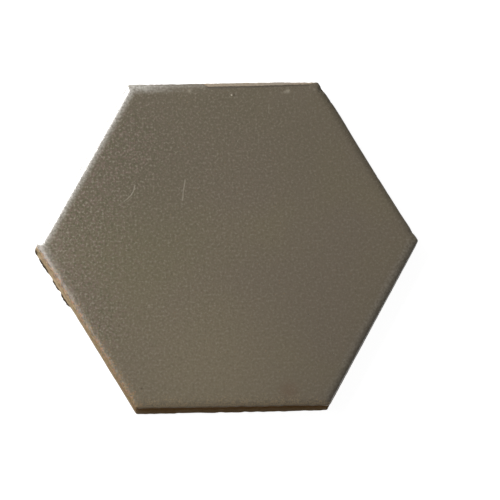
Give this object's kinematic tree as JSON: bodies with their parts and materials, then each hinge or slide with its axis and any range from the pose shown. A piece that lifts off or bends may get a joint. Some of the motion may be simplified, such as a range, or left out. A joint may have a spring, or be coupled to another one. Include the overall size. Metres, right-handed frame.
{
  "type": "hexagon floor tile",
  "caption": "Hexagonal pressed clay floor tile with a satin taupe glazed face, cushioned edges, bare buff flanks and a honeycomb mortar key in its back.",
  "frame": {"origin": "middle of the back, on the plane that the tile lies on", "axes": "+Z out of the glazed face, +X towards one corner, +Y towards the middle of one side"},
  "size_m": [0.1728, 0.15, 0.0105],
  "materials": {
    "satin_glaze": "satin",
    "fired_clay": "matte"
  },
  "bodies": {
    "root": {"hexagon_tile": "satin_glaze"}
  },
  "joints": []
}
